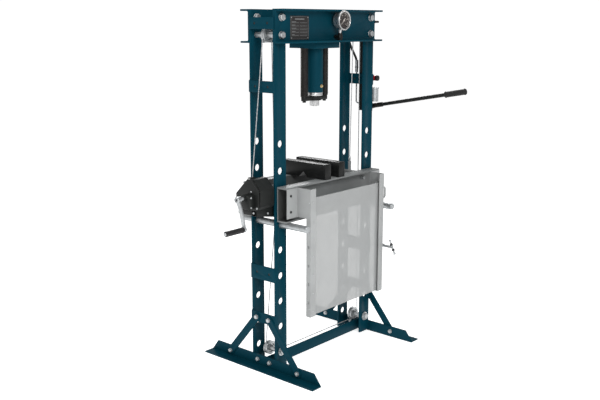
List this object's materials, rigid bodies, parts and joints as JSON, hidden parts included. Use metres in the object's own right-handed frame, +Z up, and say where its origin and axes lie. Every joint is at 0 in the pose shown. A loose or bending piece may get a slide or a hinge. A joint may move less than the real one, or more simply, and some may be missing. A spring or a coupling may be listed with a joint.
{
  "type": "workshop hydraulic press",
  "caption": "Floor-standing workshop press: two drilled columns, hand-pumped cylinder in the head, winch-lifted bed on pins, vee blocks and a clear sliding guard.",
  "frame": {"origin": "on the floor, midway between the columns and midway between front and rear uprights", "axes": "+X to the pump side, +Y to the rear, +Z up"},
  "size_m": [1.1905, 1.014, 1.8],
  "materials": {
    "blue_paint": "satin",
    "grey_paint": "satin",
    "zinc": "zinc plated",
    "bright_steel": "ground",
    "black_paint": "satin",
    "black_plastic": "matte",
    "red_plastic": "gloss",
    "black_rubber": "matte",
    "glass": "clear",
    "smoked_sheet": "smoked",
    "white_face": "printed",
    "wire_rope": "stranded"
  },
  "bodies": {
    "frame": {"upright_front_left": "blue_paint", "upright_rear_left": "blue_paint", "upright_front_right": "blue_paint", "upright_rear_right": "blue_paint", "tie_plates": "blue_paint", "head_channel_front": "blue_paint", "head_channel_rear": "blue_paint", "head_bolts": "zinc", "foot_left": "blue_paint", "foot_right": "blue_paint", "braces": "blue_paint", "foot_bolts": "zinc", "cross_beam": "blue_paint", "cylinder_plate": "blue_paint", "cylinder_body": "blue_paint", "cylinder_gland": "bright_steel", "gauge_case": "zinc", "gauge_dial": "black_plastic", "gauge_glass": "glass", "gauge_fitting": "black_paint", "pulley_axles": "zinc", "pulley_ropes": "wire_rope", "winch_rope": "wire_rope", "bed_ropes": "wire_rope", "level_rope": "wire_rope", "return_spring_left": "black_paint", "return_spring_right": "black_paint", "pump_block": "black_paint", "pump_reservoir": "black_paint", "pump_cylinder": "zinc", "pressure_hose": "black_rubber", "hose_adapters": "zinc"},
    "bed": {"bed_channel_front": "grey_paint", "bed_channel_rear": "grey_paint", "bed_spacers": "grey_paint", "bed_bolts": "zinc", "vee_block_left": "black_paint", "vee_block_right": "black_paint", "winch_housing": "black_paint", "winch_cover": "black_paint", "guard_rail_left": "grey_paint", "guard_rail_right": "grey_paint"},
    "ram_unit": {"ram": "bright_steel", "spring_crossbar": "black_paint"},
    "needle": {"gauge_needle": "white_face"},
    "pulley_tl": {"pulley_top_left": "zinc"},
    "pulley_ll": {"pulley_low_left": "zinc"},
    "pulley_lr": {"pulley_low_right": "zinc"},
    "pulley_tr": {"pulley_top_right": "zinc"},
    "plunger": {"pump_plunger": "bright_steel"},
    "handle": {"pump_handle": "black_paint", "handle_grip": "black_rubber"},
    "knob": {"release_knob": "red_plastic"},
    "pin_left": {"support_pin_left": "zinc"},
    "pin_right": {"support_pin_right": "zinc"},
    "drum": {"winch_drum": "bright_steel"},
    "crank": {"winch_crank": "zinc"},
    "grip": {"crank_grip": "black_plastic"},
    "panel": {"guard_panel": "smoked_sheet"},
    "lock": {"guard_lock_lever": "zinc"}
  },
  "joints": [
    {"name": "bed_lift", "type": "slide", "parent": "frame", "child": "bed", "axis": [0, 0, 1], "range_m": [0, 0.133], "deforming": ["winch_rope", "bed_ropes", "level_rope"]},
    {"name": "ram_slide", "type": "slide", "parent": "frame", "child": "ram_unit", "axis": [0, 0, -1], "range_m": [0, 0.15], "stiffness_N_per_m": 3000, "springref_m": -0.05, "deforming": ["return_spring_left", "return_spring_right"]},
    {"name": "needle_turn", "type": "hinge", "parent": "frame", "child": "needle", "pos_m": [0.05, -0.15, 1.747], "axis": [0, 1, 0], "range_deg": [0, 270], "stiffness_Nm_per_rad": 0.002, "springref_deg": -17.19},
    {"name": "pulley_tl_turn", "type": "hinge", "parent": "frame", "child": "pulley_tl", "pos_m": [-0.35, 0, 1.6785], "axis": [0, 1, 0], "range_deg": [-259, 5]},
    {"name": "pulley_ll_turn", "type": "hinge", "parent": "frame", "child": "pulley_ll", "pos_m": [-0.35, 0, 0.097], "axis": [0, 1, 0], "range_deg": [-5, 259]},
    {"name": "pulley_lr_turn", "type": "hinge", "parent": "frame", "child": "pulley_lr", "pos_m": [0.35, 0, 0.097], "axis": [0, 1, 0], "range_deg": [-5, 259]},
    {"name": "pulley_tr_turn", "type": "hinge", "parent": "frame", "child": "pulley_tr", "pos_m": [0.35, 0, 1.6785], "axis": [0, 1, 0], "range_deg": [-5, 259]},
    {"name": "handle_swing", "type": "hinge", "parent": "frame", "child": "handle", "pos_m": [0.44, -0.045, 1.286], "axis": [1, 0, 0], "range_deg": [-4, 40]},
    {"name": "plunger_stroke", "type": "slide", "parent": "frame", "child": "plunger", "axis": [0, 0, -1], "range_m": [-0.002, 0.02]},
    {"name": "knob_turn", "type": "hinge", "parent": "frame", "child": "knob", "pos_m": [0.43, -0.06, 1.44], "axis": [0, -1, 0], "range_deg": [-90, 90]},
    {"name": "pin_left_pull", "type": "slide", "parent": "frame", "child": "pin_left", "axis": [0, -1, 0], "range_m": [0, 0.2]},
    {"name": "pin_right_pull", "type": "slide", "parent": "frame", "child": "pin_right", "axis": [0, -1, 0], "range_m": [0, 0.2]},
    {"name": "drum_turn", "type": "hinge", "parent": "bed", "child": "drum", "pos_m": [-0.468, -0.024, 0.95455], "axis": [1, 0, 0], "range_deg": [-640, 5]},
    {"name": "crank_turn", "type": "hinge", "parent": "bed", "child": "crank", "pos_m": [-0.51, -0.03, 0.915], "axis": [1, 0, 0], "range_deg": [-10, 1492]},
    {"name": "grip_spin", "type": "hinge", "parent": "crank", "child": "grip", "pos_m": [-0.601, -0.07402, 0.77789], "axis": [1, 0, 0], "continuous": true},
    {"name": "panel_slide", "type": "slide", "parent": "bed", "child": "panel", "axis": [0, 0, 1], "range_m": [0, 0.25]},
    {"name": "lock_turn", "type": "hinge", "parent": "bed", "child": "lock", "pos_m": [0.302, -0.221, 0.545], "axis": [1, 0, 0], "range_deg": [-60, 60]}
  ],
  "couplings": [
    {"joint": "pulley_tl_turn", "follows": "bed_lift", "rad_per_m": -33.333},
    {"joint": "pulley_ll_turn", "follows": "bed_lift", "rad_per_m": 33.333},
    {"joint": "pulley_lr_turn", "follows": "bed_lift", "rad_per_m": 33.333},
    {"joint": "pulley_tr_turn", "follows": "bed_lift", "rad_per_m": 33.333},
    {"joint": "drum_turn", "follows": "bed_lift", "rad_per_m": -83.333},
    {"joint": "crank_turn", "follows": "bed_lift", "rad_per_m": 194.44},
    {"joint": "plunger_stroke", "follows": "handle_swing", "m_per_rad": 0.01}
  ]
}
